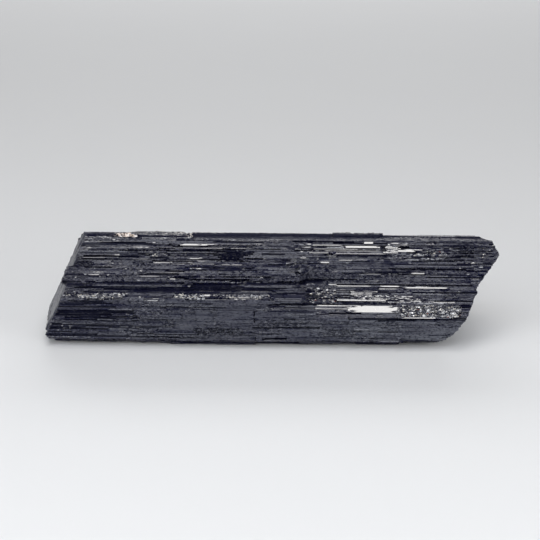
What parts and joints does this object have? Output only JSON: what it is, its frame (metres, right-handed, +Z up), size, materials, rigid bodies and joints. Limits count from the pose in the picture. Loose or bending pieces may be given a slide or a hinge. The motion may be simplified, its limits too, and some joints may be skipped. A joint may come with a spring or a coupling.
{
  "type": "tourmaline crystal",
  "caption": "Black tourmaline crystal lying on its side, with lengthwise striations, a broken shelf along its front and slanting broken ends.",
  "frame": {"origin": "on the surface the crystal rests on, under the middle of its box", "axes": "+X along the crystal, towards the end that leans out at the top; -Y is the front, with the shelf; +Z up"},
  "size_m": [0.1516, 0.0368, 0.034],
  "materials": {
    "black_tourmaline": "gloss"
  },
  "bodies": {
    "root": {"tourmaline_crystal": "black_tourmaline"}
  },
  "joints": []
}
